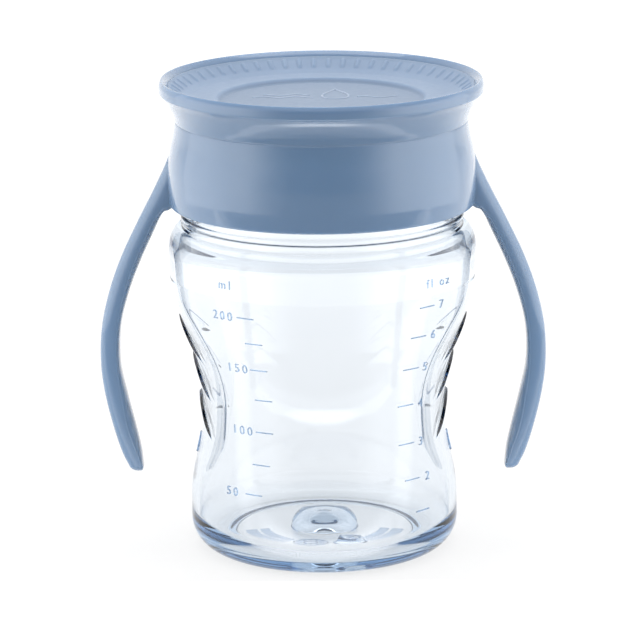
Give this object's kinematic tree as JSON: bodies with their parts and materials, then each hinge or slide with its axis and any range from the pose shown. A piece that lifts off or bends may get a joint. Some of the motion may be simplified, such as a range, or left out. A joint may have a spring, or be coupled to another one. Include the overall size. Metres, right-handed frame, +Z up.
{
  "type": "trainer drinking cup",
  "caption": "Two-handled trainer cup with a clear waisted tumbler, a screw collar with a flared drinking rim and a soft valve disc.",
  "frame": {"origin": "centre of the foot ring, on the surface the cup stands on", "axes": "+Z up along the cup's axis, X through both handles, -Y towards the side with the scales"},
  "size_m": [0.1122, 0.0806, 0.1191],
  "materials": {
    "clear_plastic": "clear gloss",
    "blue_plastic": "satin gloss",
    "silicone": "matte"
  },
  "bodies": {
    "cup": {"cup_body": "clear_plastic"},
    "gasket": {"rim_gasket": "silicone"},
    "collar": {"drinking_collar": "blue_plastic", "handle_left": "blue_plastic", "handle_right": "blue_plastic", "valve_carrier": "blue_plastic"},
    "valve": {"valve_membrane": "silicone"}
  },
  "joints": [
    {"name": "collar_lift", "type": "slide", "parent": "cup", "child": "gasket", "axis": [0, 0, 1], "range_m": [0, 0.0058]},
    {"name": "collar_turn", "type": "hinge", "parent": "gasket", "child": "collar", "pos_m": [0, 0, 0.0878], "axis": [0, 0, 1], "range_deg": [0, 432]},
    {"name": "valve_lift", "type": "slide", "parent": "collar", "child": "valve", "axis": [0, 0, 1], "range_m": [0, 0.015]}
  ],
  "couplings": [
    {"joint": "collar_lift", "follows": "collar_turn", "m_per_rad": 0.00076394}
  ]
}
